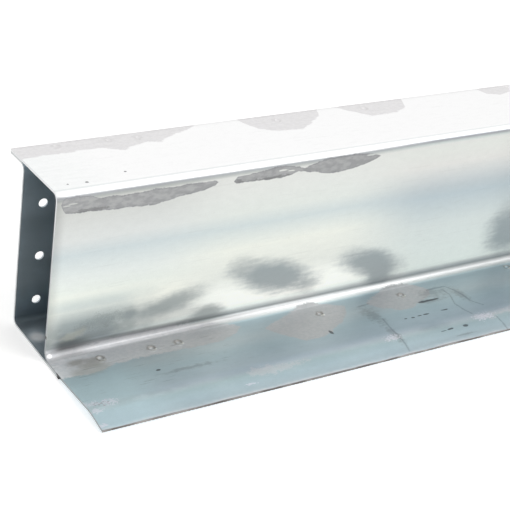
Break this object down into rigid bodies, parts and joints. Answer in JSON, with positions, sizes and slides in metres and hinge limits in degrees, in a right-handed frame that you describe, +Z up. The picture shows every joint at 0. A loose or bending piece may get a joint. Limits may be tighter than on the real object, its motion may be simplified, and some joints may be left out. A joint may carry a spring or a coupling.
{
  "type": "steel lintel",
  "caption": "Galvanised steel box lintel with a rear lip and a wide front flange, pressed from two spot-welded sheets, with open ends.",
  "frame": {"origin": "middle of the footprint, on the floor plane under the base plate", "axes": "+X along the lintel, +Y from the front flange towards the rear lip, +Z up"},
  "size_m": [1.2, 0.192, 0.1538],
  "materials": {
    "galvanised_front": "galvanised sheet, satin, with grey zinc touch-up patches",
    "galvanised_back": "galvanised sheet, satin"
  },
  "bodies": {
    "root": {"front_plate": "galvanised_front", "back_plate": "galvanised_back"}
  },
  "joints": []
}
